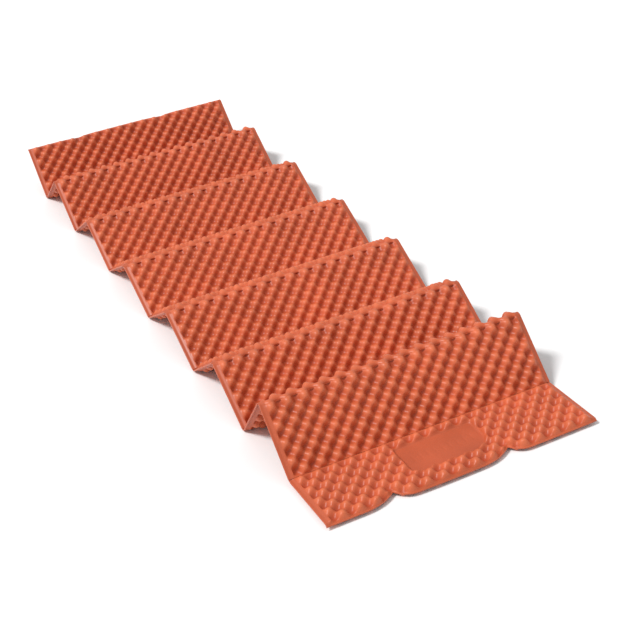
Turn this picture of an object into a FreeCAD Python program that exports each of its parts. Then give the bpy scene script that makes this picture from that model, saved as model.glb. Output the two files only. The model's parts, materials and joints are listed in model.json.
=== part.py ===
"""Accordion-fold foam sleeping pad.

One moulded sheet of closed-cell foam, divided by pressed creases into fourteen egg-crate panels.
Each crease is a living hinge.  Creases lie alternately on the sheet's top side (valley folds) and
on its bottom side (peak folds), so the panels fold into a stack with every bump in a dimple.

Frame: millimetres, +Z up, +X across the pad, +Y along it from the front panel, which lies flat.
The origin is the middle of the bottom of the pad's box as it stands half folded.
"""
import FreeCAD, Part
import math
import os

# ---------------------------------------------------------------- driving dimensions
SIZES = (
    ("pad_width", 510.0, "across the pad, flange to flange"),
    ("panel_pitch", 130.7, "from one crease axis to the next, along the pad"),
    ("open_thickness", 20.0, "flat pad, bump tops to bump tops"),
    ("foam_thickness", 8.6, "foam between the top and the bottom relief, measured upright"),
    ("nest_clearance", 0.6, "upright gap between two panels folded together"),
    ("cells_across", 32.0, "bumps and dimples in one row"),
    ("rows_along", 8.0, "rows of cells on one panel"),
    ("side_margin", 10.2, "smooth strip along each long edge"),
    ("crease_margin", 3.5, "from a crease axis to the first row of cells"),
    ("tip_flat_cut", 1.8, "height cut off each pyramid, which leaves its flat top"),
    ("flange_thickness", 4.0, "pressed edge of the foam"),
    ("crease_gap", 1.5, "from a crease axis to the panel's end face"),
    ("web_thickness", 2.0, "foam left at the bottom of a crease groove"),
    ("bead_radius", 1.0, "round of the web on the crease axis"),
    ("web_inset", 1.0, "from the last cell to the end of the web"),
    ("front_notch_depth", 20.0, "notches of the front edge"),
    ("back_notch_depth", 3.0, "notches of the back edge"),
    ("notch_long_side", 65.0, "gentle side of a notch, along the edge"),
    ("notch_short_side", 40.0, "steep side of a notch, along the edge"),
    ("notch_left_place", 129.0, "from the left flange to the left notch"),
    ("notch_right_place", 346.0, "from the left flange to the right notch"),
)

# Slope, in degrees, at which each rising panel stands at rest, from the front of the pad.
RISE_SLOPES = (
    ("rise_first", 46.5),
    ("rise_second", 35.0),
    ("rise_third", 31.0),
    ("rise_fourth", 29.0),
    ("rise_fifth", 31.0),
    ("rise_sixth", 37.0),
    ("rise_last", 44.5),
)

PANEL_COUNT = 2 * len(RISE_SLOPES)

TOP = 1.0
BOTTOM = -1.0
FREE = 0.0

# Where the two rounds of a notch pass, as shares of the side's length and of the notch's depth.
LONG_ROUND = (0.42, 0.27)
SHORT_ROUND = (0.22, 0.42)

# The slope of a falling panel is looked for between these, in degrees, by halving.
LEAST_FALL = 1.0
MOST_FALL = 89.0
HALVINGS = 60


def build_sheet(doc):
    """Write the driving dimensions into a spreadsheet, one alias each."""
    sheet = doc.addObject("Spreadsheet::Sheet", "sizes")
    slopes = tuple((alias, value, "degrees, rising panel at rest") for alias, value in RISE_SLOPES)
    for row, (alias, value, note) in enumerate(SIZES + slopes, start=1):
        sheet.set(f"A{row}", note)
        sheet.set(f"B{row}", str(value))
        sheet.setAlias(f"B{row}", alias)
    doc.recompute()
    return sheet


class Relief:
    """Sizes of the egg-crate relief, worked out from the spreadsheet."""

    def __init__(self, sheet):
        self.width = float(sheet.pad_width)
        self.pitch = float(sheet.panel_pitch)
        self.columns = int(sheet.cells_across)
        self.rows = int(sheet.rows_along)
        self.half_width = self.width / 2
        self.half_foam = float(sheet.foam_thickness) / 2
        self.half_flange = float(sheet.flange_thickness) / 2
        self.web = float(sheet.web_thickness)
        self.gap = float(sheet.crease_gap)
        self.margin = float(sheet.crease_margin)
        self.half_cells = self.half_width - float(sheet.side_margin)
        self.cell_x = 2 * self.half_cells / self.columns
        self.cell_y = (self.pitch - 2 * self.margin) / self.rows
        self.hinge_offset = self.half_foam + float(sheet.nest_clearance) / 2
        self.bump = (float(sheet.open_thickness) - float(sheet.foam_thickness)) / 2
        self.apex = self.bump + float(sheet.tip_flat_cut)
        self.flat_x = self.cell_x / 2 * (1 - self.bump / self.apex)
        self.flat_y = self.cell_y / 2 * (1 - self.bump / self.apex)
        self.rises = [float(getattr(sheet, alias)) for alias, _ in RISE_SLOPES]

    def corner(self, i, j, level):
        """Corner of the cell grid: the relief crosses its mean level there."""
        x = -self.half_cells + i * self.cell_x
        return FreeCAD.Vector(x, self.margin + j * self.cell_y, level)

    def flat(self, i, j, level):
        """The four corners of the flat on cell (i, j), a bump or a dimple, keyed by their sides."""
        x = -self.half_cells + (i + 0.5) * self.cell_x
        y = self.margin + (j + 0.5) * self.cell_y
        height = level + (self.bump if (i + j) % 2 == 1 else -self.bump)
        return {
            (sx, sy): FreeCAD.Vector(x + sx * self.flat_x, y + sy * self.flat_y, height)
            for sx in (-1, 1)
            for sy in (-1, 1)
        }


def polygon(*points):
    """Flat face through the points."""
    return Part.Face(Part.makePolygon(list(points) + [points[0]]))


def relief_faces(relief, level):
    """All faces of the egg-crate surface whose mean level is given."""
    faces = []
    for j in range(relief.rows):
        for i in range(relief.columns):
            here = relief.flat(i, j, level)
            faces.append(polygon(here[-1, -1], here[1, -1], here[1, 1], here[-1, 1]))
            low_left = relief.corner(i, j, level)
            low_right = relief.corner(i + 1, j, level)
            high_left = relief.corner(i, j + 1, level)
            high_right = relief.corner(i + 1, j + 1, level)
            if i + 1 < relief.columns:
                beside = relief.flat(i + 1, j, level)
                faces.append(polygon(
                    here[1, 1], here[1, -1], low_right, beside[-1, -1], beside[-1, 1], high_right))
            else:
                faces.append(polygon(here[1, 1], here[1, -1], low_right, high_right))
            if j + 1 < relief.rows:
                beyond = relief.flat(i, j + 1, level)
                faces.append(polygon(
                    here[-1, 1], here[1, 1], high_right, beyond[1, -1], beyond[-1, -1], high_left))
            else:
                faces.append(polygon(here[-1, 1], here[1, 1], high_right, high_left))
            if i == 0:
                faces.append(polygon(here[-1, -1], here[-1, 1], high_left, low_left))
            if j == 0:
                faces.append(polygon(here[-1, -1], here[1, -1], low_right, low_left))
    return faces


def end_heights(relief, hinge_side):
    """Bottom and top of a panel's end face: a web on the hinge side, or the flange of a free end."""
    if hinge_side == TOP:
        return relief.half_foam - relief.web, relief.half_foam
    if hinge_side == BOTTOM:
        return -relief.half_foam, -relief.half_foam + relief.web
    return -relief.half_flange, relief.half_flange


def border_faces(relief, near_side, far_side):
    """Margins, flanges and end faces that close the sheet round its relief."""
    vector = FreeCAD.Vector
    faces = []
    cells, edge = relief.half_cells, relief.half_width
    inner = (relief.margin, relief.pitch - relief.margin)
    near_end = relief.gap if near_side != FREE else 0.0
    far_end = relief.pitch - (relief.gap if far_side != FREE else 0.0)
    outer = (near_end, far_end)
    ends = (end_heights(relief, near_side), end_heights(relief, far_side))
    for surface in (0, 1):
        level = (-relief.half_foam, relief.half_foam)[surface]
        flange = (-relief.half_flange, relief.half_flange)[surface]
        for end in (0, 1):
            end_level = ends[end][surface]
            row = end * relief.rows
            line = [relief.corner(i, row, level) for i in range(relief.columns + 1)]
            faces.append(polygon(
                *line, vector(cells, outer[end], end_level), vector(-cells, outer[end], end_level)))
            for side in (-1, 1):
                root = vector(side * cells, inner[end], level)
                tip = vector(side * edge, outer[end], flange)
                faces.append(polygon(root, vector(side * cells, outer[end], end_level), tip))
                faces.append(polygon(root, tip, vector(side * edge, inner[end], flange)))
        for side in (-1, 1):
            column = 0 if side < 0 else relief.columns
            line = [relief.corner(column, j, level) for j in range(relief.rows + 1)]
            faces.append(polygon(
                *line, vector(side * edge, inner[1], flange), vector(side * edge, inner[0], flange)))
    thin = relief.half_flange
    for end in (0, 1):
        low, high = ends[end]
        y = outer[end]
        faces.append(polygon(
            vector(-edge, y, -thin), vector(-cells, y, low), vector(cells, y, low),
            vector(edge, y, -thin), vector(edge, y, thin), vector(cells, y, high),
            vector(-cells, y, high), vector(-edge, y, thin)))
    for side in (-1, 1):
        x = side * edge
        stations = (outer[0], inner[0], inner[1], outer[1])
        faces.append(polygon(
            *[vector(x, y, -thin) for y in stations], *[vector(x, y, thin) for y in stations[::-1]]))
    return faces


def panel_solid(relief, near_side, far_side):
    """One panel of the sheet, its near crease axis or free edge at y = 0 and its middle at z = 0."""
    faces = relief_faces(relief, relief.half_foam)
    faces += relief_faces(relief, -relief.half_foam)
    faces += border_faces(relief, near_side, far_side)
    solid = Part.Solid(Part.Shell(faces))
    if solid.Volume < 0:
        solid.reverse()
    return solid


def notch_cutter(relief, sheet, place, depth):
    """Prism that cuts one notch into the edge at y = 0: two round lobe corners meet at its tip."""
    vector = FreeCAD.Vector
    tip_x = place - relief.half_width
    long_side = float(sheet.notch_long_side)
    short_side = float(sheet.notch_short_side)
    outside = -depth
    start = vector(tip_x - long_side, 0, 0)
    tip = vector(tip_x, depth, 0)
    finish = vector(tip_x + short_side, 0, 0)
    long_middle = vector(tip_x - LONG_ROUND[0] * long_side, LONG_ROUND[1] * depth, 0)
    short_middle = vector(tip_x + SHORT_ROUND[0] * short_side, SHORT_ROUND[1] * depth, 0)
    edges = [
        Part.Arc(start, long_middle, tip).toShape(),
        Part.Arc(tip, short_middle, finish).toShape(),
        Part.LineSegment(finish, vector(finish.x, outside, 0)).toShape(),
        Part.LineSegment(vector(finish.x, outside, 0), vector(start.x, outside, 0)).toShape(),
        Part.LineSegment(vector(start.x, outside, 0), start).toShape(),
    ]
    tall = float(sheet.open_thickness)
    prism = Part.Face(Part.Wire(edges)).extrude(vector(0, 0, 2 * tall))
    prism.translate(vector(0, 0, -tall))
    return prism


def notched_edge(relief, sheet, solid, depth, far_edge):
    """Cut both notches into a panel's free edge."""
    for place in (float(sheet.notch_left_place), float(sheet.notch_right_place)):
        cutter = notch_cutter(relief, sheet, place, depth)
        if far_edge:
            cutter = cutter.mirror(FreeCAD.Vector(0, relief.pitch / 2, 0), FreeCAD.Vector(0, 1, 0))
        solid = solid.cut(cutter)
    return solid


# ---------------------------------------------------------------- rest pose
def ground_need(relief, slope):
    """Height of a valley crease's axis at which a panel sloping away from it just rests on z = 0."""
    drop = relief.hinge_offset
    first_row = relief.margin + relief.cell_y / 2
    profile = (
        (first_row - relief.flat_y, -relief.half_foam - relief.bump - drop),
        (first_row + relief.flat_y, -relief.half_foam - relief.bump - drop),
        (relief.margin, -relief.half_foam - drop),
        (relief.gap, -relief.half_flange - drop),
        (relief.gap, relief.half_foam - relief.web - drop),
    )
    turn = math.radians(slope)
    return max(-(along * math.sin(turn) + up * math.cos(turn)) for along, up in profile)


def crease_step(relief, heading, towards_peak):
    """Offset in Y and Z from one crease axis to the next along a panel at this heading."""
    turn = math.radians(heading)
    rise = -2 * relief.hinge_offset if towards_peak else 2 * relief.hinge_offset
    return (relief.pitch * math.cos(turn) - rise * math.sin(turn),
            relief.pitch * math.sin(turn) + rise * math.cos(turn))


def falling_slope(relief, peak_height, next_rise):
    """Slope of a falling panel that brings the next valley crease down to its resting height."""
    low, high = LEAST_FALL, MOST_FALL
    for _ in range(HALVINGS):
        middle = (low + high) / 2
        height = peak_height + crease_step(relief, -middle, False)[1]
        need = max(ground_need(relief, middle), ground_need(relief, next_rise))
        if height > need:
            low = middle
        else:
            high = middle
    return (low + high) / 2


def rest_chain(relief):
    """Heading of every panel, and the Y and Z of every crease axis, with the front edge at y = 0."""
    headings = [0.0]
    first_height = relief.half_foam + relief.bump + relief.hinge_offset
    creases = [(relief.pitch, first_height)]
    for number, rise in enumerate(relief.rises):
        headings.append(rise)
        if number == len(relief.rises) - 1:
            break
        y, z = creases[-1]
        dy, dz = crease_step(relief, rise, True)
        creases.append((y + dy, z + dz))
        fall = falling_slope(relief, z + dz, relief.rises[number + 1])
        headings.append(-fall)
        y, z = creases[-1]
        dy, dz = crease_step(relief, -fall, False)
        creases.append((y + dy, z + dz))
    return headings, creases


def crease_side(crease):
    """Side of the sheet that a crease's axis lies on: odd creases are valleys, on the top side."""
    return TOP if crease % 2 == 1 else BOTTOM


def panel_placement(relief, number, headings, creases, shift):
    """Placement of panel `number` (from 1) at rest."""
    turn = FreeCAD.Rotation(FreeCAD.Vector(1, 0, 0), headings[number - 1])
    if number == 1:
        y, z = creases[0]
        anchor = FreeCAD.Vector(0, relief.pitch, relief.hinge_offset)
    else:
        y, z = creases[number - 2]
        anchor = FreeCAD.Vector(0, 0, crease_side(number - 1) * relief.hinge_offset)
    base = FreeCAD.Vector(0, y + shift, z) - turn.multVec(anchor)
    return FreeCAD.Placement(base, turn)


# ---------------------------------------------------------------- sub-parts
def add_panel(doc, relief, sheet, number):
    """Add one panel to the document, in its own frame."""
    near_side = FREE if number == 1 else crease_side(number - 1)
    far_side = FREE if number == PANEL_COUNT else crease_side(number)
    solid = panel_solid(relief, near_side, far_side)
    if number == 1:
        solid = notched_edge(relief, sheet, solid, float(sheet.front_notch_depth), False)
    if number == PANEL_COUNT:
        solid = notched_edge(relief, sheet, solid, float(sheet.back_notch_depth), True)
    panel = doc.addObject("Part::Feature", f"panel_{number:02d}")
    panel.Label = f"panel_{number:02d}"
    panel.Shape = solid
    return panel


def add_web(doc, crease):
    """Add the web of one crease: a bead on the crease axis and a leaf to the panel before it."""
    name = f"crease_web_{crease:02d}"
    half = "(sizes.pad_width / 2 - sizes.side_margin - sizes.web_inset)"
    bead = doc.addObject("Part::Cylinder", f"bead_{crease:02d}")
    bead.setExpression("Radius", "sizes.bead_radius")
    bead.setExpression("Height", f"2 * {half}")
    bead.Placement = FreeCAD.Placement(
        FreeCAD.Vector(), FreeCAD.Rotation(FreeCAD.Vector(0, 1, 0), 90))
    bead.setExpression("Placement.Base.x", f"-{half}")
    leaf = doc.addObject("Part::Box", f"leaf_{crease:02d}")
    leaf.setExpression("Length", f"2 * {half}")
    leaf.setExpression("Width", "sizes.crease_gap")
    leaf.setExpression("Height", "sizes.web_thickness")
    leaf.setExpression("Placement.Base.x", f"-{half}")
    leaf.setExpression("Placement.Base.y", "-sizes.crease_gap")
    if crease_side(crease) == TOP:
        leaf.setExpression("Placement.Base.z", "-sizes.nest_clearance / 2 - sizes.web_thickness")
    else:
        leaf.setExpression("Placement.Base.z", "sizes.nest_clearance / 2")
    web = doc.addObject("Part::Fuse", name)
    web.Base = bead
    web.Tool = leaf
    web.Label = name
    return web


def check_document(doc, parts):
    """Stop if any object failed to build."""
    for item in doc.Objects:
        if "Invalid" in item.State or "Error" in item.State:
            raise RuntimeError(f"{item.Name} failed: {item.State}")
    for item in parts:
        if item.Shape.isNull() or not item.Shape.isValid():
            raise RuntimeError(f"{item.Label} has no valid shape")


def main():
    """Build the pad and write one file per sub-part."""
    doc = FreeCAD.newDocument("sleeping_pad")
    sheet = build_sheet(doc)
    relief = Relief(sheet)
    headings, creases = rest_chain(relief)
    panels = [add_panel(doc, relief, sheet, number) for number in range(1, PANEL_COUNT + 1)]
    webs = [add_web(doc, crease) for crease in range(1, PANEL_COUNT)]
    doc.recompute()

    for number, panel in enumerate(panels, start=1):
        panel.Placement = panel_placement(relief, number, headings, creases, 0.0)
    box = FreeCAD.BoundBox()
    for panel in panels:
        box.add(panel.Shape.BoundBox)
    shift = -(box.YMin + box.YMax) / 2
    for number, panel in enumerate(panels, start=1):
        panel.Placement = panel_placement(relief, number, headings, creases, shift)
    for crease, web in enumerate(webs, start=1):
        y, z = creases[crease - 1]
        turn = FreeCAD.Rotation(FreeCAD.Vector(1, 0, 0), headings[crease - 1])
        web.Placement = FreeCAD.Placement(FreeCAD.Vector(0, y + shift, z), turn)
    doc.recompute()

    parts = panels + webs
    check_document(doc, parts)
    os.makedirs("parts", exist_ok=True)
    for item in parts:
        item.Shape.exportStep(f"parts/{item.Label}.step")
        print(item.Label, round(item.Shape.Volume), item.Shape.isValid())
    for number, heading in enumerate(headings, start=1):
        print("heading", number, heading)
    for crease, (y, z) in enumerate(creases, start=1):
        print("crease", crease, y + shift, z)


main()
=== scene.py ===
"""Looks of an accordion-fold foam sleeping pad, half folded on a pale floor.

The pad is one moulded sheet of closed-cell foam.  Pressed creases divide it into fourteen
egg-crate panels.  Every panel is a padded piece that rides on its own body, and every crease is
a strip of foam shaped round its fold at rest, which rides on no body.  Metres, +Z up, +X across
the pad, +Y along it from the front panel, which lies flat.
"""

import json
import logging
import math
from dataclasses import dataclass, field
from enum import Enum

import bpy
import numpy as np
from mathutils import Matrix, Vector

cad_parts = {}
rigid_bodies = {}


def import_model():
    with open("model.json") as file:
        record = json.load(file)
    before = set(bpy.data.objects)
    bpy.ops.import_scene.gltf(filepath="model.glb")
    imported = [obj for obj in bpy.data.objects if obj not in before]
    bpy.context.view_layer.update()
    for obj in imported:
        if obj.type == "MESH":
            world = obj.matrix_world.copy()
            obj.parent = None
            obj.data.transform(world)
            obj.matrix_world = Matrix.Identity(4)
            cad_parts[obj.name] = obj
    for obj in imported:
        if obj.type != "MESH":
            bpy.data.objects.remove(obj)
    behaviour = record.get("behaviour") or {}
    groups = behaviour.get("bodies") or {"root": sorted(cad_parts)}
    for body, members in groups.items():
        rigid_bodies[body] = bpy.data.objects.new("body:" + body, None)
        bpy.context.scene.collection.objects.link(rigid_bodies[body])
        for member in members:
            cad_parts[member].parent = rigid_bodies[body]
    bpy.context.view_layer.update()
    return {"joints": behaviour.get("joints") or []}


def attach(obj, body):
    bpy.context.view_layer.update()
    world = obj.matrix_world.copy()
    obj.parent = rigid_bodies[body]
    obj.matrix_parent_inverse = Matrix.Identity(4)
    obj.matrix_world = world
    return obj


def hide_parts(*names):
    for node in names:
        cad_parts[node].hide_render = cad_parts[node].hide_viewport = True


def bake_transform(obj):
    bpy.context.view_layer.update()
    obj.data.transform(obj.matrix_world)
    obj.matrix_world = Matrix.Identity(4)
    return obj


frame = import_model()

log = logging.getLogger("sleeping_pad")

MM = 0.001
NOISE_SPAN = (0.3, 0.7)  # where most values of a noise lie
HANDLE_WEIGHT = 0.75  # share of the two handles in the middle of a cubic curve


class Side(Enum):
    """A side of the foam sheet, as the sign of the direction that it faces."""

    TOP = 1
    BOTTOM = -1

    @staticmethod
    def of_crease(number: int) -> "Side":
        """Side that crease `number` folds towards: odd creases are valleys."""
        return Side.TOP if number % 2 else Side.BOTTOM


class End(Enum):
    """What a panel has at an end."""

    CREASE = "crease"
    NOTCHED = "notched edge"


@dataclass(frozen=True)
class PadSizes:
    """Sizes of the foam sheet, in metres."""

    width: float = 510.0 * MM
    pitch: float = 130.7 * MM
    columns: int = 32
    rows: int = 8
    panels: int = 14
    side_margin: float = 10.2 * MM
    crease_margin: float = 2.0 * MM
    half_foam: float = 4.3 * MM
    hinge_offset: float = 4.6 * MM
    half_flange: float = 1.6 * MM
    bump: float = 6.0 * MM
    strip_margin: float = 2.0 * MM
    crease_drop: float = 1.6 * MM
    relief_margin: float = 0.8 * MM
    ridge_reach: float = 4.0 * MM
    edge_reach: float = 1.0 * MM
    edge_fade: float = 3.5 * MM
    edge_sink: float = 3.1 * MM
    press_start: float = 1.5 * MM
    press_fade: float = 4.0 * MM

    @property
    def half_width(self) -> float:
        """Half of the pad's width."""
        return self.width / 2

    @property
    def half_cells(self) -> float:
        """Half of the width that the relief covers."""
        return self.half_width - self.side_margin

    @property
    def cell_x(self) -> float:
        """Size of a cell across the pad."""
        return 2 * self.half_cells / self.columns

    @property
    def cell_u(self) -> float:
        """Size of a cell along the pad."""
        return (self.pitch - 2 * self.crease_margin) / self.rows

    def thickness_share(self, half: np.ndarray) -> np.ndarray:
        """0 where the sheet is as thin as its flange, 1 where it is full."""
        return np.clip((half - self.half_flange) / (self.half_foam - self.half_flange), 0.0, 1.0)

    def outer_half(self, half: np.ndarray) -> np.ndarray:
        """Height of the outer skin above the sheet's middle where a crease strip starts."""
        return half - self.crease_drop * self.thickness_share(half)

    def flange_share(self, x: np.ndarray) -> np.ndarray:
        """1 on the pressed side flanges, 0 on the relief."""
        return smooth((np.abs(x) - self.half_cells + self.press_start) / self.press_fade)


def smooth(value: np.ndarray) -> np.ndarray:
    """Step that eases from 0 to 1 as value goes from 0 to 1."""
    t = np.clip(value, 0.0, 1.0)
    return t * t * (3 - 2 * t)


# ---------------------------------------------------------------------------- finishes
class FinishNodes:
    """A node material under construction, whose patterns lie on object coordinates."""

    def __init__(self, name: str) -> None:
        """Start a plain material.

        Args:
            name: Name of the material.
        """
        self.made = bpy.data.materials.new(name)
        self.made.use_nodes = True
        self.nodes = self.made.node_tree.nodes
        self.links = self.made.node_tree.links
        self.shader = self.nodes["Principled BSDF"]
        self.place = self.nodes.new("ShaderNodeTexCoord").outputs["Object"]

    def set(self, name: str, value: float | tuple[float, ...]) -> None:
        """Give an input of the shader a fixed value."""
        self.shader.inputs[name].default_value = value

    def feed(self, name: str, value: bpy.types.NodeSocket) -> None:
        """Give an input of the shader the value of a socket."""
        self.links.new(value, self.shader.inputs[name])

    def attribute(self, name: str) -> bpy.types.NodeSocket:
        """Read a value painted on the mesh.

        Args:
            name: Name of the painted value.

        Returns:
            Socket of the value.
        """
        node = self.nodes.new("ShaderNodeAttribute")
        node.attribute_name = name
        return node.outputs["Fac"]

    def noise(self, scale: float, detail: float) -> bpy.types.NodeSocket:
        """Add a noise.

        Args:
            scale: Patches in a metre.
            detail: How many finer layers it has.

        Returns:
            Socket of the noise.
        """
        node = self.nodes.new("ShaderNodeTexNoise")
        node.inputs["Scale"].default_value = scale
        node.inputs["Detail"].default_value = detail
        self.links.new(self.place, node.inputs["Vector"])
        return node.outputs["Fac"]

    def pores(self, scale: float) -> bpy.types.NodeSocket:
        """Add a pattern of round cells.

        Args:
            scale: Cells in a metre.

        Returns:
            Socket of the distance from the middle of a cell.
        """
        node = self.nodes.new("ShaderNodeTexVoronoi")
        node.inputs["Scale"].default_value = scale
        self.links.new(self.place, node.inputs["Vector"])
        return node.outputs["Distance"]

    def spread(self, noise: bpy.types.NodeSocket, low: float, high: float,
               ) -> bpy.types.NodeSocket:
        """Spread a noise between two values.

        Args:
            noise: Socket of the noise.
            low: Value at the low end of the noise.
            high: Value at its high end.

        Returns:
            Socket of the value.
        """
        node = self.nodes.new("ShaderNodeMapRange")
        node.inputs["From Min"].default_value, node.inputs["From Max"].default_value = NOISE_SPAN
        node.inputs["To Min"].default_value = low
        node.inputs["To Max"].default_value = high
        self.links.new(noise, node.inputs["Value"])
        return node.outputs["Result"]

    def combine(self, operation: str, first: bpy.types.NodeSocket,
                second: bpy.types.NodeSocket) -> bpy.types.NodeSocket:
        """Add or multiply two values.

        Args:
            operation: ADD or MULTIPLY.
            first: Socket of one value.
            second: Socket of the other.

        Returns:
            Socket of the result.
        """
        node = self.nodes.new("ShaderNodeMath")
        node.operation = operation
        self.links.new(first, node.inputs[0])
        self.links.new(second, node.inputs[1])
        return node.outputs["Value"]

    def mix(self, share: bpy.types.NodeSocket, colour: bpy.types.NodeSocket,
            other: tuple[float, float, float]) -> bpy.types.NodeSocket:
        """Go from one colour to another.

        Args:
            share: Socket of the share of the other colour.
            colour: Socket of the colour at share 0.
            other: Colour at share 1.

        Returns:
            Socket of the mixed colour.
        """
        node = self.nodes.new("ShaderNodeMix")
        node.data_type = "RGBA"
        self.links.new(share, node.inputs["Factor"])
        self.links.new(colour, node.inputs[6])
        node.inputs[7].default_value = (*other, 1)
        return node.outputs[2]

    def ramp(self, value: bpy.types.NodeSocket,
             stops: tuple[tuple[float, tuple[float, float, float]], ...]) -> bpy.types.NodeSocket:
        """Turn a value into a colour.

        Args:
            value: Socket of the value, 0 to 1.
            stops: Place and colour of each stop; the first is at 0 and the last at 1.

        Returns:
            Socket of the colour.
        """
        node = self.nodes.new("ShaderNodeValToRGB")
        elements = node.color_ramp.elements
        elements[0].color = (*stops[0][1], 1)
        elements[1].color = (*stops[-1][1], 1)
        for place, colour in stops[1:-1]:
            elements.new(place).color = (*colour, 1)
        self.links.new(value, node.inputs["Fac"])
        return node.outputs["Color"]


@dataclass(frozen=True)
class FoamFinish:
    """Moulded skin of closed-cell foam: satin, fine grained, with painted shade in its dimples and
    painted light on its bumps.
    """

    name: str = "copper_foam"
    # From deep through middle to the crest colour: painted shade in the dimples, painted light on
    # the bumps, set by relief height.
    deep: tuple[float, float, float] = (0.43, 0.062, 0.020)
    middle: tuple[float, float, float] = (0.565, 0.108, 0.040)
    crest_painted_light: tuple[float, float, float] = (0.65, 0.150, 0.062)
    pressed: tuple[float, float, float] = (0.48, 0.092, 0.036)
    middle_place: float = 0.45
    mottle_scale: float = 16.0
    mottle_tone: tuple[float, float] = (0.90, 1.10)
    mottle_roughness: tuple[float, float] = (0.37, 0.51)
    fleck_tone: tuple[float, float] = (0.94, 1.06)
    grain_scale: float = 1400.0
    grains_in_fleck: float = 3.0
    grain_depth: float = 0.09 * MM
    grain_strength: float = 0.35
    pore_scale: float = 520.0
    specular: float = 0.36
    sheen: float = 0.04
    sheen_roughness: float = 0.5
    sheen_tint: tuple[float, float, float] = (1.0, 0.62, 0.48)

    def material(self) -> bpy.types.Material:
        """Build the node material.

        Returns:
            The material, which reads the mesh attributes relief and pressed.
        """
        skin = FinishNodes(self.name)
        mottle = skin.noise(self.mottle_scale, detail=4.0)
        skin.feed("Base Color", self._colour(skin, mottle))
        skin.feed("Roughness", skin.spread(mottle, *self.mottle_roughness))
        skin.feed("Normal", self._grain(skin))
        skin.set("Specular IOR Level", self.specular)
        skin.set("Subsurface Weight", 0.0)
        skin.set("Sheen Weight", self.sheen)
        skin.set("Sheen Roughness", self.sheen_roughness)
        skin.set("Sheen Tint", (*self.sheen_tint, 1))
        return skin.made

    def _colour(self, skin: FinishNodes, mottle: bpy.types.NodeSocket) -> bpy.types.NodeSocket:
        """Colour of the skin: painted shade in the dimples and painted light on the bumps, plain
        where pressed, mottled and flecked.

        Args:
            skin: The material under construction.
            mottle: Broad unevenness of the skin.

        Returns:
            Socket of the colour.
        """
        # Painted shade in the dimples and painted light on the bumps, by relief height.
        relief = skin.ramp(skin.attribute("relief"), (
            (0.0, self.deep), (self.middle_place, self.middle), (1.0, self.crest_painted_light)))
        plain = skin.mix(skin.attribute("pressed"), relief, self.pressed)
        fleck = skin.noise(self.grain_scale / self.grains_in_fleck, detail=2.0)
        tone = skin.spread(mottle, *self.mottle_tone)
        speck = skin.spread(fleck, *self.fleck_tone)
        shade = skin.nodes.new("ShaderNodeVectorMath")
        shade.operation = "SCALE"
        skin.links.new(plain, shade.inputs[0])
        skin.links.new(skin.combine("MULTIPLY", tone, speck), shade.inputs["Scale"])
        return shade.outputs["Vector"]

    def _grain(self, skin: FinishNodes) -> bpy.types.NodeSocket:
        """Fine grain and pores of the skin.

        Args:
            skin: The material under construction.

        Returns:
            Socket of the normal.
        """
        bump = skin.nodes.new("ShaderNodeBump")
        bump.inputs["Strength"].default_value = self.grain_strength
        bump.inputs["Distance"].default_value = self.grain_depth
        grain = skin.noise(self.grain_scale, detail=3.0)
        height = skin.combine("ADD", grain, skin.pores(self.pore_scale))
        skin.links.new(height, bump.inputs["Height"])
        return bump.outputs["Normal"]


@dataclass(frozen=True)
class FloorFinish:
    """Pale matt studio floor with a faint unevenness."""

    name: str = "pale_floor"
    light: tuple[float, float, float] = (0.90, 0.90, 0.90)
    dark: tuple[float, float, float] = (0.88, 0.88, 0.88)
    patch_scale: float = 3.0
    roughness: float = 0.9
    specular: float = 0.1

    def material(self) -> bpy.types.Material:
        """Build the node material.

        Returns:
            The material.
        """
        paint = FinishNodes(self.name)
        noise = paint.noise(self.patch_scale, detail=2.0)
        paint.feed("Base Color", paint.ramp(noise, ((0.0, self.dark), (1.0, self.light))))
        paint.set("Roughness", self.roughness)
        paint.set("Specular IOR Level", self.specular)
        return paint.made


# ---------------------------------------------------------------------------- folds
@dataclass(frozen=True)
class Crease:
    """One fold at rest."""

    number: int
    side: Side
    place: Vector
    before: float
    after: float
    bodies: tuple[str, str]

    @property
    def turn(self) -> float:
        """Angle between the two panels at rest, 0 when flat."""
        return abs(self.after - self.before)


class FoldChain:
    """Where every panel and crease stands at rest, read from the joints."""

    def __init__(self, joints: list[dict], sizes: PadSizes) -> None:
        """Follow the joints from the front panel to the back.

        Args:
            joints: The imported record's hinges, whose low limit is the flat pad.
            sizes: Sizes of the sheet.
        """
        self.sizes = sizes
        self.headings = [0.0]
        self.creases: list[Crease] = []
        for number, joint in enumerate(sorted(joints, key=lambda j: j["name"]), start=1):
            side = Side.of_crease(number)
            before = self.headings[-1]
            after = before + side.value * math.radians(-joint["range_deg"][0])
            bodies = sorted((joint["parent"], joint["child"]), key=self._panel_of)
            self.creases.append(Crease(
                number, side, Vector(joint["pos_m"]), before, after, tuple(bodies)))
            self.headings.append(after)

    @staticmethod
    def _panel_of(body: str) -> int:
        """Number of the panel that a body carries."""
        return 1 if body == "root" else int(body.split("_")[1])

    def body(self, panel: int) -> str:
        """Name of the body that carries a panel."""
        return self.creases[0].bodies[0] if panel == 1 else self.creases[panel - 2].bodies[1]

    def placement(self, panel: int) -> Matrix:
        """Where a panel stands.

        Args:
            panel: Number of the panel, which is modelled with its near end at u = 0.

        Returns:
            Matrix that sets it at its place.
        """
        if panel == 1:
            crease = self.creases[0]
            anchor = Vector((0, self.sizes.pitch, crease.side.value * self.sizes.hinge_offset))
        else:
            crease = self.creases[panel - 2]
            anchor = Vector((0, 0, crease.side.value * self.sizes.hinge_offset))
        turn = Matrix.Rotation(self.headings[panel - 1], 4, "X")
        return Matrix.Translation(crease.place) @ turn @ Matrix.Translation(-anchor)


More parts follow.
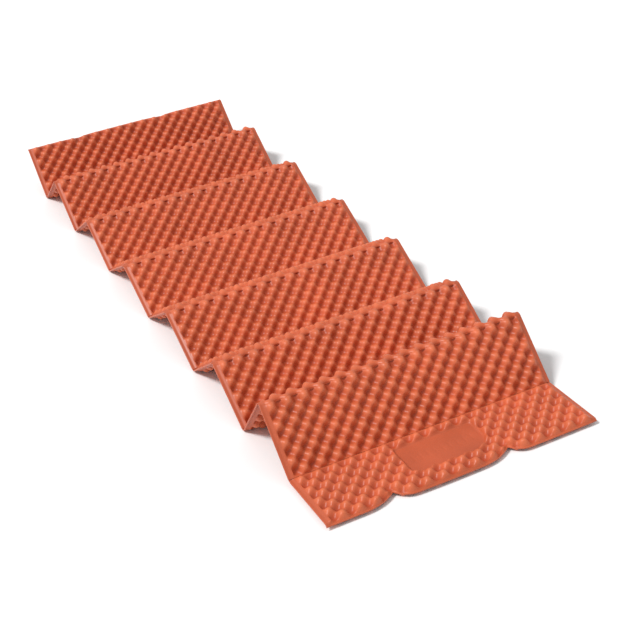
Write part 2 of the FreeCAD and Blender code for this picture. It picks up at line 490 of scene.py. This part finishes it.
# ---------------------------------------------------------------------------- mesh work
class SheetMesh:
    """A closed sheet: a grid given a thickness, whose two skins are then shaped point by point."""

    def __init__(self, name: str, across: int, along: int) -> None:
        """Add the grid and give it its two skins.

        Args:
            name: Name of the piece.
            across: Faces in X.
            along: Faces in Y.
        """
        bpy.ops.object.select_all(action="DESELECT")
        bpy.ops.mesh.primitive_grid_add(x_subdivisions=across, y_subdivisions=along, size=2)
        self.piece = bpy.context.object
        self.piece.name = name
        self.piece.data.name = name
        wall = self.piece.modifiers.new("skins", "SOLIDIFY")
        wall.thickness = 1.0
        wall.offset = 0.0
        bpy.ops.object.modifier_apply(modifier=wall.name)
        count = len(self.piece.data.vertices)
        flat = np.empty(count * 3)
        self.piece.data.vertices.foreach_get("co", flat)
        flat = flat.reshape(-1, 3)
        self.column = np.rint((flat[:, 0] + 1) / 2 * across).astype(int)
        self.row = np.rint((flat[:, 1] + 1) / 2 * along).astype(int)
        self.upper = flat[:, 2] > 0

    def shape(self, points: np.ndarray) -> None:
        """Move every point of the sheet.

        Args:
            points: New places, one row of three for each point.
        """
        self.piece.data.vertices.foreach_set("co", points.astype(np.float32).ravel())
        self.piece.data.update()

    def paint(self, name: str, values: np.ndarray) -> None:
        """Store one value for each point, for the material."""
        attribute = self.piece.data.attributes.new(name, "FLOAT", "POINT")
        attribute.data.foreach_set("value", values.astype(np.float32))

    def finish(self, sharp: float) -> bpy.types.Object:
        """Turn the faces outwards and shade them smooth up to an angle.

        Args:
            sharp: Angle in degrees above which an edge stays sharp.

        Returns:
            The finished piece.
        """
        bpy.ops.object.select_all(action="DESELECT")
        self.piece.select_set(True)
        bpy.context.view_layer.objects.active = self.piece
        bpy.ops.object.mode_set(mode="EDIT")
        bpy.ops.mesh.select_all(action="SELECT")
        bpy.ops.mesh.normals_make_consistent(inside=False)
        bpy.ops.object.mode_set(mode="OBJECT")
        bpy.ops.object.shade_smooth_by_angle(angle=math.radians(sharp))
        return self.piece


def across_stations(sizes: PadSizes, per_cell: int) -> np.ndarray:
    """Places in X of the columns of points: rounded flange edges, margins and cells.

    Args:
        sizes: Sizes of the sheet.
        per_cell: Points in each cell.

    Returns:
        Places from the left flange to the right one.
    """
    margin = np.array([0.0, 0.35, 0.95, 2.0, 3.6, 5.4, 7.0, 8.6]) * MM
    cells = np.linspace(-sizes.half_cells, sizes.half_cells, sizes.columns * per_cell + 1)
    return np.concatenate((margin - sizes.half_width, cells, (sizes.half_width - margin)[::-1]))


@dataclass(frozen=True)
class SheetProfile:
    """Half thickness of the sheet from its thick middle to its pressed edges."""

    sizes: PadSizes
    edge_round: float = 1.4 * MM
    edge_half: float = 0.9 * MM
    slope_share: float = 0.62
    edge_flat: float = 0.6 * MM

    def across(self, x: np.ndarray) -> np.ndarray:
        """Half thickness at places across the pad.

        Args:
            x: Distances from the middle of the pad.

        Returns:
            Half of the sheet's thickness there, without the relief.
        """
        sizes = self.sizes
        out = (np.abs(x) - sizes.half_cells) / (sizes.side_margin * self.slope_share)
        return self._round(
            sizes.half_foam + (sizes.half_flange - sizes.half_foam) * smooth(out),
            sizes.half_width - np.abs(x))

    def inside(self, distance: np.ndarray) -> np.ndarray:
        """0 on the pressed strip along a free edge, 1 on the full sheet."""
        return smooth((distance - self.edge_flat) / self.sizes.edge_fade)

    def free_edge(self, thick: np.ndarray, distance: np.ndarray) -> np.ndarray:
        """Half thickness near a free edge.

        Args:
            thick: Half thickness without the edge.
            distance: Distance to the edge.

        Returns:
            Half thickness with the edge pressed thin and rounded.
        """
        flange = self.sizes.half_flange
        return self._round(flange + (thick - flange) * self.inside(distance), distance)

    def _round(self, half: np.ndarray, distance: np.ndarray) -> np.ndarray:
        """Round the sheet off towards its rim.

        Args:
            half: Half thickness without the rim.
            distance: Distance to the rim.

        Returns:
            Half thickness with the rim rounded.
        """
        share = np.clip(distance / self.edge_round, 0.0, 1.0)
        rounded = self.edge_half + (self.sizes.half_flange - self.edge_half) * np.sqrt(
            1 - (1 - share) ** 2)
        return np.minimum(half, rounded + np.maximum(distance - self.edge_round, 0.0))


@dataclass(frozen=True)
class EggCrate:
    """The egg-crate relief, a chequer of round bumps and dimples."""

    sizes: PadSizes
    fullness: float = 0.9
    side_fade: float = 2.0 * MM
    end_fade: float = 1.2 * MM

    def wave(self, x: np.ndarray, u: np.ndarray, near: np.ndarray | float,
             far: np.ndarray | float) -> np.ndarray:
        """Relief from -1 in a dimple to 1 on a bump.

        Args:
            x: Places across the pad.
            u: Places along the panel from its near crease.
            near: How far the relief runs on over the near crease, below 0 if it stops short.
            far: The same at the far crease.

        Returns:
            Share of the bump height, fading out round the panel.
        """
        sizes = self.sizes
        across = (x + sizes.half_cells) / sizes.cell_x
        raw = -np.sin(math.pi * across) * np.sin(math.pi * self._along(u, near, far))
        swell = np.tanh(self.fullness * raw) / math.tanh(self.fullness)
        end = np.minimum(u + near, sizes.pitch - u + far) / self.end_fade
        side = (sizes.half_cells - np.abs(x)) / self.side_fade
        return swell * np.sqrt(smooth(end) * smooth(side))

    def over_ridge(self, x: np.ndarray, share: np.ndarray) -> np.ndarray:
        """Relief on the outer skin of a ridge crease.

        Args:
            x: Places across the pad.
            share: Places over the crease, 0 at the panel before it and 1 at the one after.

        Returns:
            Share of the bump height; it is 0 along the ridge itself.
        """
        sizes, reach = self.sizes, self.sizes.ridge_reach
        aside = np.abs(2 * share - 1)
        distance = sizes.strip_margin * aside - reach * (1 - aside)
        before = self.wave(x, sizes.pitch - distance, reach, reach)
        after = self.wave(x, distance, reach, reach)
        return np.where(share < 0.5, before, after)

    def _along(self, u: np.ndarray, near: np.ndarray | float,
               far: np.ndarray | float) -> np.ndarray:
        """Place along the panel in cells; the outer half cells are drawn out to their ends.

        Args:
            u: Places along the panel from its near crease.
            near: How far the relief runs on over the near crease.
            far: The same at the far crease.

        Returns:
            Number of cells from the panel's first cell.
        """
        sizes = self.sizes
        first = sizes.crease_margin + sizes.cell_u / 2
        along = (u - sizes.crease_margin) / sizes.cell_u
        before = 0.5 - 0.5 * (first - u) / (first + near)
        after = sizes.rows - 0.5 + 0.5 * (u - sizes.pitch + first) / (first + far)
        along = np.where(u < first, before, along)
        return np.where(u > sizes.pitch - first, after, along)


@dataclass(frozen=True)
class Notch:
    """A notch of a free edge: a gentle run and a steep run that meet at its tip."""

    place: float
    depth: float
    long_side: float = 65.0 * MM
    short_side: float = 40.0 * MM
    long_power: float = 2.5
    short_power: float = 2.8

    def cut(self, x: np.ndarray) -> np.ndarray:
        """How far the edge is cut back.

        Args:
            x: Places across the pad.

        Returns:
            Depth of the cut at each place.
        """
        left = np.clip(1 - (self.place - x) / self.long_side, 0.0, 1.0) ** self.long_power
        right = np.clip(1 - (x - self.place) / self.short_side, 0.0, 1.0) ** self.short_power
        return self.depth * np.where(x <= self.place, left, right)


@dataclass(frozen=True)
class NotchedEdge:
    """Outline of a free edge with its two notches and the lobe between them."""

    sizes: PadSizes
    depth: float
    reach: float = 34.0 * MM
    lobe: float = 2.4 * MM
    lobe_power: float = 0.8
    full_depth: float = 20.0 * MM
    places: tuple[float, float] = (129.0 * MM, 346.0 * MM)

    def inset(self, x: np.ndarray) -> np.ndarray:
        """Distance of the edge from the panel's nominal end, at places across the pad.

        Args:
            x: Distances from the middle of the pad.

        Returns:
            How far the edge is cut back, below 0 where a lobe stands out.
        """
        first, second = (place - self.sizes.half_width for place in self.places)
        inside = np.clip((x - first) / (second - first), 0.0, 1.0)
        bulge = self.lobe * np.sin(math.pi * inside) ** self.lobe_power * (
            self.depth / self.full_depth)
        cuts = sum(Notch(place, self.depth).cut(x) for place in (first, second))
        return cuts - bulge


@dataclass(frozen=True)
class Plaque:
    """Smooth patch pressed into the front panel as deep as its dimples, with plain bars."""

    left: float = -75.0 * MM
    right: float = 76.0 * MM
    front: float = 38.0 * MM
    back: float = 114.0 * MM
    corner: float = 9.0 * MM
    front_right_corner: float = 34.0 * MM
    fade: float = 6.0 * MM
    depth: float = 5.6 * MM
    bars: int = 9
    bar_length: float = 15.0 * MM
    bar_width: float = 4.2 * MM
    bar_depth: float = 0.4 * MM
    bar_fade: float = 1.3 * MM
    bar_span: float = 0.74

    def distance(self, x: np.ndarray, u: np.ndarray) -> np.ndarray:
        """Distance inside the patch's outline.

        Args:
            x: Places across the pad.
            u: Places along the panel.

        Returns:
            Distance to the outline, below 0 outside it.
        """
        centre = ((self.left + self.right) / 2, (self.front + self.back) / 2)
        half = ((self.right - self.left) / 2, (self.back - self.front) / 2)
        dx, du = x - centre[0], u - centre[1]
        corner = np.where((dx > 0) & (du < 0), self.front_right_corner, self.corner)
        qx, qu = np.abs(dx) - half[0] + corner, np.abs(du) - half[1] + corner
        out = np.hypot(np.maximum(qx, 0), np.maximum(qu, 0))
        return corner - out - np.minimum(np.maximum(qx, qu), 0)

    def smoothness(self, x: np.ndarray, u: np.ndarray) -> np.ndarray:
        """1 on the patch, 0 outside it."""
        return smooth(self.distance(x, u) / self.fade + 0.5)

    def pattern(self, x: np.ndarray, u: np.ndarray) -> np.ndarray:
        """Plain bars pressed into the patch.

        Args:
            x: Places across the pad.
            u: Places along the panel.

        Returns:
            Depth of the bars at each place.
        """
        depth = np.zeros_like(x)
        middle = (self.front + self.back) / 2
        span = (self.right - self.left) * self.bar_span
        for number in range(self.bars):
            centre = (self.left + self.right) / 2 + span * (number / (self.bars - 1) - 0.5)
            along = np.maximum(np.abs(u - middle) - self.bar_length / 2, 0)
            inside = self.bar_width / 2 - np.hypot(x - centre, along)
            depth = np.maximum(depth, self.bar_depth * smooth(inside / self.bar_fade))
        return depth


# ---------------------------------------------------------------------------- pieces
@dataclass
class FoamPanel:
    """One egg-crate panel of the sheet, modelled with its near end at u = 0."""

    number: int
    chain: FoldChain
    sizes: PadSizes
    finish: bpy.types.Material
    per_cell: int = 8
    mitre: float = 0.15 * MM
    mitre_lip: float = 0.6 * MM
    drop_reach: float = 5.0 * MM
    wedge_place: float = 0.6
    wedge_height: float = 0.25
    rim_rows: tuple[float, ...] = (0.0, 0.3 * MM, 0.8 * MM, 1.4 * MM)
    front_notch: float = 20.0 * MM
    back_notch: float = 3.0 * MM
    slope_step: float = 0.5 * MM
    sharp: float = 60.0
    fill: float = 1.0

    def __post_init__(self) -> None:
        """Work out the panel's ends."""
        last = self.number == self.sizes.panels
        self.near = End.NOTCHED if self.number == 1 else End.CREASE
        self.far = End.NOTCHED if last else End.CREASE
        self.profile = SheetProfile(self.sizes)
        self.relief = EggCrate(self.sizes)

    @property
    def node(self) -> str:
        """Name of the solid that the panel stands for."""
        return f"panel_{self.number:02d}"

    def stations(self) -> np.ndarray:
        """Rows of points along the panel.

        Returns:
            Places of the rows, from the near end to the far one.
        """
        sizes = self.sizes
        cells = np.linspace(
            sizes.strip_margin, sizes.pitch - sizes.strip_margin, sizes.rows * self.per_cell + 1)
        near, far = self._end_rows(self.near), self._end_rows(self.far)
        return np.concatenate((near, cells, (sizes.pitch - far)[::-1]))

    def _end_rows(self, end: End) -> np.ndarray:
        """Rows between an end and the first cell.

        Args:
            end: What the panel has there.

        Returns:
            Distances of the rows from the end.
        """
        if end is End.CREASE:
            return np.array([self.mitre, self.sizes.strip_margin / 2])
        return np.array(self.rim_rows)

    def build(self) -> bpy.types.Object:
        """Model the panel, set it at its place and hand it to its body.

        Returns:
            The finished panel.
        """
        x_at, u_at = across_stations(self.sizes, self.per_cell), self.stations()
        sheet = SheetMesh(f"foam_panel_{self.number:02d}", len(x_at) - 1, len(u_at) - 1)
        self._form(sheet, x_at[sheet.column], u_at[sheet.row])
        piece = sheet.finish(self.sharp)
        piece.data.materials.append(self.finish)
        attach(piece, self.chain.body(self.number))
        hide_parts(self.node)
        log.info("%s: %d faces", piece.name, len(piece.data.polygons))
        return piece

    def _form(self, sheet: SheetMesh, x: np.ndarray, u: np.ndarray) -> None:
        """Shape the panel's two skins and paint them for the material.

        Args:
            sheet: The panel's mesh.
            x: Places of its points across the pad.
            u: Places of its points along the panel.
        """
        sign = np.where(sheet.upper, 1.0, -1.0)
        half = self.profile.across(x)
        near, far = (self._reach(crease, sheet.upper) for crease in (self.number - 1, self.number))
        inside = np.ones_like(x)
        if End.NOTCHED in (self.near, self.far):
            u, half, inside = self._cut_edge(x, u, half)
        wave = self.relief.wave(x, u, near, far) * np.sqrt(inside)
        lift = -self.sizes.edge_sink * (1 - inside)
        flat = np.zeros_like(x)
        if self.number == 1:
            plaque = Plaque()
            flat = plaque.smoothness(x, u)
            wave = wave * (1 - flat)
            flat = np.where(sheet.upper, flat, 0.0)
            lift = lift - flat * (plaque.depth + plaque.pattern(x, u))
        half = half - self._crease_drop(u, sign, half)
        w = sign * half + self.sizes.bump * wave + lift
        u, w = self._mitre_ends(sheet, u, w, sign, half)
        sheet.shape(self._placed(np.column_stack((x, u, w))))
        # The relief value drives painted shade in the dimples and painted light on the bumps.
        sheet.paint("relief", 0.5 + 0.5 * np.where(sheet.upper, wave, -wave))
        sheet.paint("pressed", np.maximum(self.sizes.flange_share(x), flat))

    def _cut_edge(self, x: np.ndarray, u: np.ndarray, half: np.ndarray,
                  ) -> tuple[np.ndarray, np.ndarray, np.ndarray]:
        """Draw the rows of points back behind the notched edge.

        Args:
            x: Places across the pad.
            u: Places along the panel.
            half: Half thickness without the edge.

        Returns:
            New places along the panel, half thickness, and 0 at the edge to 1 inside it.
        """
        front = self.near is End.NOTCHED
        edge = NotchedEdge(self.sizes, self.front_notch if front else self.back_notch)
        inset = edge.inset(x)
        from_end = u if front else self.sizes.pitch - u
        from_end = from_end + inset * np.clip(1 - from_end / edge.reach, 0.0, 1.0)
        step = self.slope_step
        slope = (edge.inset(x + step) - edge.inset(x - step)) / (2 * step)
        distance = (from_end - inset) / np.sqrt(1 + slope ** 2)
        u = from_end if front else self.sizes.pitch - from_end
        half = self.profile.free_edge(half, distance)
        return u, half, self.profile.inside(distance)

    def _reach(self, crease: int, upper: np.ndarray) -> np.ndarray:
        """How far the relief runs on over a ridge or towards a free edge, on the top skin.

        Args:
            crease: Number of the crease; the free edges count as 0 and one past the last.
            upper: Whether each point is on the top skin.

        Returns:
            Reach at each point, below 0 where the relief stops short.
        """
        sizes = self.sizes
        inner = 0 < crease < sizes.panels
        reach = sizes.ridge_reach if inner else sizes.edge_reach
        runs_on = upper & (Side.of_crease(crease) is Side.BOTTOM)
        return np.where(runs_on, reach, -sizes.relief_margin)

    def _crease_drop(self, u: np.ndarray, sign: np.ndarray, half: np.ndarray) -> np.ndarray:
        """How far the outer skin is pressed down beside the panel's creases.

        Args:
            u: Places along the panel.
            sign: 1 on the top skin, -1 on the bottom one.
            half: Half thickness of the sheet.

        Returns:
            Drop of the skin at each point.
        """
        sizes = self.sizes
        drop = np.zeros_like(u)
        ends = ((self.near, self.number - 1, u), (self.far, self.number, sizes.pitch - u))
        for end, crease, distance in ends:
            if end is End.CREASE:
                outer = sign == -Side.of_crease(crease).value
                near = 1 - smooth((distance - sizes.strip_margin) / self.drop_reach)
                drop = np.where(outer, np.maximum(drop, near), drop)
        return drop * (half - sizes.outer_half(half))

    def _mitre_ends(self, sheet: SheetMesh, u: np.ndarray, w: np.ndarray, sign: np.ndarray,
                    half: np.ndarray) -> tuple[np.ndarray, np.ndarray]:
        """Slope the creased ends so that only the folding side reaches the fold line.

        Args:
            sheet: The panel's mesh.
            u: Places along the panel.
            w: Heights above the middle of the sheet.
            sign: 1 on the top skin, -1 on the bottom one.
            half: Half thickness of the sheet.

        Returns:
            New places along the panel and new heights.
        """
        last_row = sheet.row.max()
        ends = ((self.near, self.number - 1, 0, 1), (self.far, self.number, last_row, -1))
        for end, crease, row, inward in ends:
            if end is not End.CREASE:
                continue
            side = Side.of_crease(crease).value
            base = 0.0 if inward == 1 else self.sizes.pitch
            outer = sign == -side
            tip = outer & (sheet.row == row)
            middle = outer & (sheet.row == row + inward)
            w = np.where(tip, side * (half - self.mitre_lip), w)
            u = np.where(middle, base + inward * self.sizes.strip_margin * self.wedge_place, u)
            w = np.where(middle, -side * half * self.wedge_height, w)
        return u, w

    def _placed(self, points: np.ndarray) -> np.ndarray:
        """Set the panel at its place in the pad and flatten the bumps that it rests on.

        Args:
            points: Points of the panel as modelled, one row of three for each.

        Returns:
            The points at their place, none of them below the floor.
        """
        matrix = np.array(self.chain.placement(self.number))
        placed = points @ matrix[:3, :3].T + matrix[:3, 3]
        placed[:, 2] = np.maximum(placed[:, 2], 0.0)
        return placed


@dataclass
class CreaseStrip:
    """Foam on the outer side of one fold, shaped as the fold stands at rest."""

    crease: Crease
    sizes: PadSizes
    finish: bpy.types.Material
    round_middle: float = 6.2 * MM
    round_flange: float = 4.6 * MM
    ground_gap: float = 0.3 * MM
    heart: float = 0.8 * MM
    tuck: float = 0.9 * MM
    end_gap: float = 0.3 * MM
    crown_rise: float = 0.2 * MM
    wall_shares: tuple[float, float] = (0.8, 0.62)
    fan_power: float = 1.2
    sharp: float = 70.0
    steps: int = 14
    per_cell: int = 8
    fill: float = 1.0

    def build(self) -> bpy.types.Object:
        """Model the strip at its fold and bake its place into the mesh; it rides on no body.

        Returns:
            The finished strip.
        """
        x_at = across_stations(self.sizes, self.per_cell)
        sheet = SheetMesh(f"crease_strip_{self.crease.number:02d}", len(x_at) - 1, self.steps)
        reach = self._form(sheet, x_at[sheet.column])
        piece = sheet.finish(self.sharp)
        piece.data.materials.append(self.finish)
        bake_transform(piece)
        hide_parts(f"crease_web_{self.crease.number:02d}")
        log.info("%s: %.0f degrees", piece.name, math.degrees(self.crease.turn))
        return piece

    def _form(self, sheet: SheetMesh, column: np.ndarray) -> float:
        """Shape the strip over its fold and paint it for the material.

        Args:
            sheet: The strip's mesh.
            column: Place across the pad of the column that each point stands in.

        Returns:
            Least distance over the fold from its axis to the strip's rims.
        """
        end = self.sizes.half_width - self.end_gap
        x = np.clip(column, -end, end)
        share = sheet.row / self.steps
        across, outward = self._section(SheetProfile(self.sizes).across(column), share, sheet.upper)
        wave = np.zeros_like(x)
        if self.crease.side is Side.BOTTOM:
            wave = np.where(sheet.upper, EggCrate(self.sizes).over_ridge(x, share), 0.0)
        lean = (2 * share - 1) * self.crease.turn / 2
        across = across + self.sizes.bump * wave * np.sin(lean)
        outward = outward + self.sizes.bump * wave * np.cos(lean)
        chord, out = self._axes()
        points = np.outer(x, (1, 0, 0)) + np.outer(across, chord) + np.outer(outward, out)
        sheet.shape(points + np.array(self.crease.place))
        # The relief value drives painted shade in the dimples and painted light on the bumps.
        sheet.paint("relief", 0.5 + 0.5 * wave)
        sheet.paint("pressed", self.sizes.flange_share(x))
        rim = sheet.upper & ((sheet.row == 0) | (sheet.row == self.steps))
        return float(np.abs(across[rim]).min())

    def _axes(self) -> tuple[np.ndarray, np.ndarray]:
        """Directions of the fold.

        Returns:
            Direction over the fold and the direction that its outer side faces.
        """
        heading = (self.crease.before + self.crease.after) / 2
        chord = np.array((0.0, math.cos(heading), math.sin(heading)))
        up = np.array((0.0, -math.sin(heading), math.cos(heading)))
        return chord, -self.crease.side.value * up

    def _corner(self, half: np.ndarray) -> tuple[np.ndarray, np.ndarray]:
        """Outer corner of the panel after the fold.

        Args:
            half: Half thickness of the sheet at each point.

        Returns:
            Its distances over the fold and outward, from the fold's axis.
        """
        bend = self.crease.turn / 2
        deep = self.sizes.hinge_offset + self.sizes.outer_half(half)
        margin = self.sizes.strip_margin
        return (margin * math.cos(bend) + deep * math.sin(bend),
                deep * math.cos(bend) - margin * math.sin(bend))

    def _section(self, half: np.ndarray, share: np.ndarray, outer: np.ndarray,
                 ) -> tuple[np.ndarray, np.ndarray]:
        """Section of the strip: a round outer skin and a wedge that fills the fold.

        Args:
            half: Half thickness of the sheet at each point.
            share: Place of each point over the fold, 0 to 1.
            outer: Whether each point is on the outer skin.

        Returns:
            Distances over the fold and outward, from the fold's axis.
        """
        sizes, bend = self.sizes, self.crease.turn / 2
        corner_c, corner_n = self._corner(half)
        thick = sizes.thickness_share(half)
        crown = self.round_flange + (self.round_middle - self.round_flange) * thick
        crown = np.maximum(crown, corner_n + self.crown_rise)
        if self.crease.side is Side.TOP:
            crown = np.minimum(crown, self.crease.place.z - self.ground_gap)
        handle = (crown - corner_n) / (HANDLE_WEIGHT * math.sin(bend))
        handle_c = corner_c - handle * math.cos(bend)
        handle_n = corner_n + handle * math.sin(bend)
        t, s = share, 1 - share
        skin_c = corner_c * (t ** 3 - s ** 3) + 3 * handle_c * (t * t * s - s * s * t)
        skin_n = corner_n * (t ** 3 + s ** 3) + 3 * handle_n * (t * t * s + s * s * t)
        inner = sizes.hinge_offset - half + self.heart
        wall_c = (corner_c + self.tuck) * self.wall_shares[0]
        wall_n = corner_n * self.wall_shares[1]
        fan = np.abs(2 * share - 1)
        heart_c = np.sign(2 * share - 1) * fan * wall_c
        heart_n = inner + (wall_n - inner) * fan ** self.fan_power
        return np.where(outer, skin_c, heart_c), np.where(outer, skin_n, heart_n)


@dataclass
class SleepingPad:
    """The whole pad."""

    joints: list[dict]
    sizes: PadSizes = field(default_factory=PadSizes)

    def build(self) -> list[bpy.types.Object]:
        """Build every panel and every crease.

        Returns:
            All the pieces.
        """
        finish = FoamFinish().material()
        chain = FoldChain(self.joints, self.sizes)
        panels = [
            FoamPanel(number, chain, self.sizes, finish).build()
            for number in range(1, self.sizes.panels + 1)
        ]
        strips = [CreaseStrip(crease, self.sizes, finish).build() for crease in chain.creases]
        return panels + strips


# ---------------------------------------------------------------------------- studio
@dataclass(frozen=True)
class Studio:
    """Pale floor, soft light and the camera."""

    camera_place: tuple[float, float, float] = (-0.9025, -2.2622, 1.3325)
    azimuth: float = 24.02
    elevation: float = 30.24
    roll: float = -5.70
    lens: float = 77.32
    floor_side: float = 60.0
    world_strength: float = 0.62
    key_from: tuple[float, float, float] = (-0.55, 0.10, 0.80)
    key_strength: float = 2.5
    key_angle: float = 14.0
    key_distance: float = 4.0
    floor_drop: float = 0.0002
    sensor_width: float = 36.0
    view_depth: float = 100.0

    def build(self) -> None:
        """Set up the floor, the light and the camera."""
        self._floor()
        self._world()
        self._key()
        self._camera()
        log.info("studio ready")

    def _floor(self) -> None:
        """Add the floor just under the pad."""
        bpy.ops.object.select_all(action="DESELECT")
        bpy.ops.mesh.primitive_plane_add(size=self.floor_side, location=(0, 0, -self.floor_drop))
        floor = bpy.context.object
        floor.name = "floor"
        floor.data.materials.append(FloorFinish().material())

    def _world(self) -> None:
        """Fill the room with even white light."""
        world = bpy.data.worlds.new("room")
        bpy.context.scene.world = world
        world.use_nodes = True
        background = world.node_tree.nodes["Background"]
        background.inputs["Color"].default_value = (1.0, 1.0, 1.0, 1)
        background.inputs["Strength"].default_value = self.world_strength

    def _key(self) -> None:
        """Add the main lamp, far away, so that it lights the whole pad evenly."""
        place = Vector(self.key_from) * self.key_distance
        bpy.ops.object.light_add(type="SUN", location=place)
        lamp = bpy.context.object
        lamp.name = "key_light"
        lamp.data.energy = self.key_strength
        lamp.data.angle = math.radians(self.key_angle)
        lamp.rotation_euler = (-Vector(self.key_from)).to_track_quat("-Z", "Y").to_euler()

    def _camera(self) -> None:
        """Add the camera."""
        turn, rise, roll = (math.radians(a) for a in (self.azimuth, self.elevation, self.roll))
        ahead = Vector((math.sin(turn) * math.cos(rise), math.cos(turn) * math.cos(rise),
                        -math.sin(rise)))
        right = ahead.cross(Vector((0, 0, 1))).normalized()
        up = right.cross(ahead)
        rolled = right * math.cos(roll) + up * math.sin(roll)
        over = rolled.cross(ahead)
        matrix = Matrix((rolled, over, -ahead)).transposed().to_4x4()
        matrix.translation = Vector(self.camera_place)
        bpy.ops.object.camera_add()
        camera = bpy.context.object
        camera.name = "studio_camera"
        camera.matrix_world = matrix
        camera.data.lens = self.lens
        camera.data.sensor_width = self.sensor_width
        camera.data.clip_end = self.view_depth
        bpy.context.scene.camera = camera


def main() -> None:
    """Build the pad and its studio."""
    logging.basicConfig(level=logging.INFO, format="%(name)s: %(message)s")
    pieces = SleepingPad(frame["joints"]).build()
    Studio().build()
    bpy.context.scene.view_settings.view_transform = "Standard"
    log.info("%d pieces", len(pieces))


if __name__ == "__main__":
    main()
